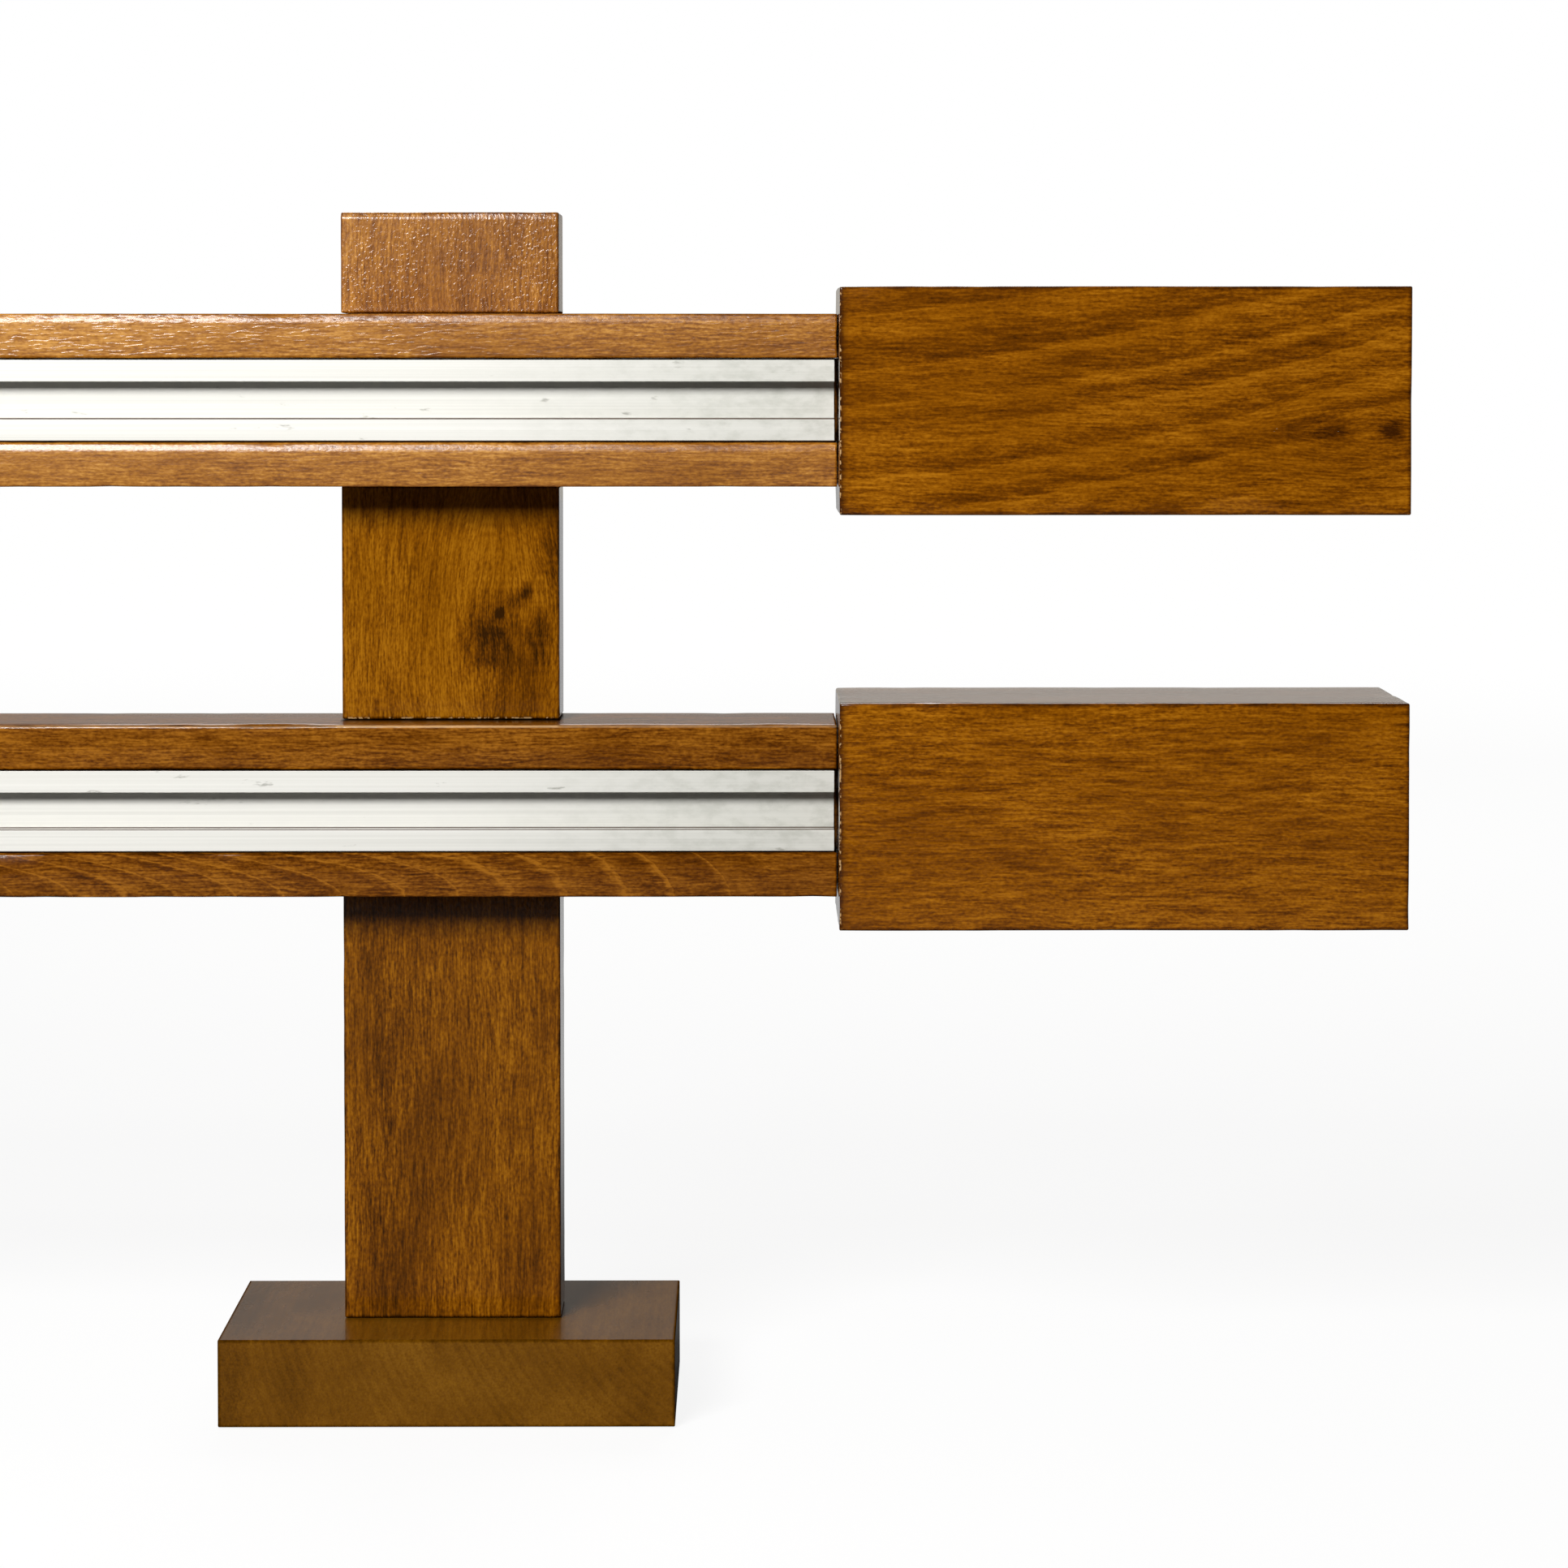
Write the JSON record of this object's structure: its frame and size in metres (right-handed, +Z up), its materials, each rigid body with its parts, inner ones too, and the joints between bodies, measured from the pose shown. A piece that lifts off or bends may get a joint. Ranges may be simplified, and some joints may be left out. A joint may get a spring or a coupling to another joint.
{
  "type": "flag pole stand",
  "caption": "Free-standing stained timber display stand: slotted aluminium channels in horizontal rails with square end blocks, carried by flat posts on board feet.",
  "frame": {"origin": "on the floor, under the centre of the stand's bounding box", "axes": "+X along the rails towards the right-hand end seen from the front, -Y towards the viewer in front of the slots, +Z up"},
  "size_m": [1.524, 0.13, 0.484],
  "materials": {
    "foot_timber": "stained and gloss varnished board",
    "post_timber": "stained and gloss varnished board",
    "rail_timber": "stained and gloss varnished planks",
    "block_timber": "stained and gloss varnished square stock",
    "aluminium": "mill-finish extrusion",
    "dowel_timber": "plain dowel rod",
    "screw_steel": "zinc-plated steel"
  },
  "bodies": {
    "root": {"foot_left": "foot_timber", "foot_right": "foot_timber", "lower_post_left": "post_timber", "lower_post_right": "post_timber", "middle_post_left": "post_timber", "middle_post_right": "post_timber", "top_post_left": "post_timber", "top_post_right": "post_timber", "lower_rail_bottom_plank": "rail_timber", "lower_rail_core": "rail_timber", "lower_rail_top_plank": "rail_timber", "lower_channel": "aluminium", "lower_block_left": "block_timber", "lower_block_right": "block_timber", "upper_rail_bottom_plank": "rail_timber", "upper_rail_core": "rail_timber", "upper_rail_top_plank": "rail_timber", "upper_channel": "aluminium", "upper_block_left": "block_timber", "upper_block_right": "block_timber", "lower_post_dowel_left_inner": "dowel_timber", "lower_post_dowel_left_outer": "dowel_timber", "lower_end_dowel_left_front": "dowel_timber", "lower_end_dowel_left_back": "dowel_timber", "lower_post_dowel_right_inner": "dowel_timber", "lower_post_dowel_right_outer": "dowel_timber", "lower_end_dowel_right_front": "dowel_timber", "lower_end_dowel_right_back": "dowel_timber", "upper_post_dowel_left_inner": "dowel_timber", "upper_post_dowel_left_outer": "dowel_timber", "upper_end_dowel_left_front": "dowel_timber", "upper_end_dowel_left_back": "dowel_timber", "upper_post_dowel_right_inner": "dowel_timber", "upper_post_dowel_right_outer": "dowel_timber", "upper_end_dowel_right_front": "dowel_timber", "upper_end_dowel_right_back": "dowel_timber", "foot_screw_left_inner": "screw_steel", "foot_screw_left_outer": "screw_steel", "foot_screw_right_inner": "screw_steel", "foot_screw_right_outer": "screw_steel"}
  },
  "joints": []
}
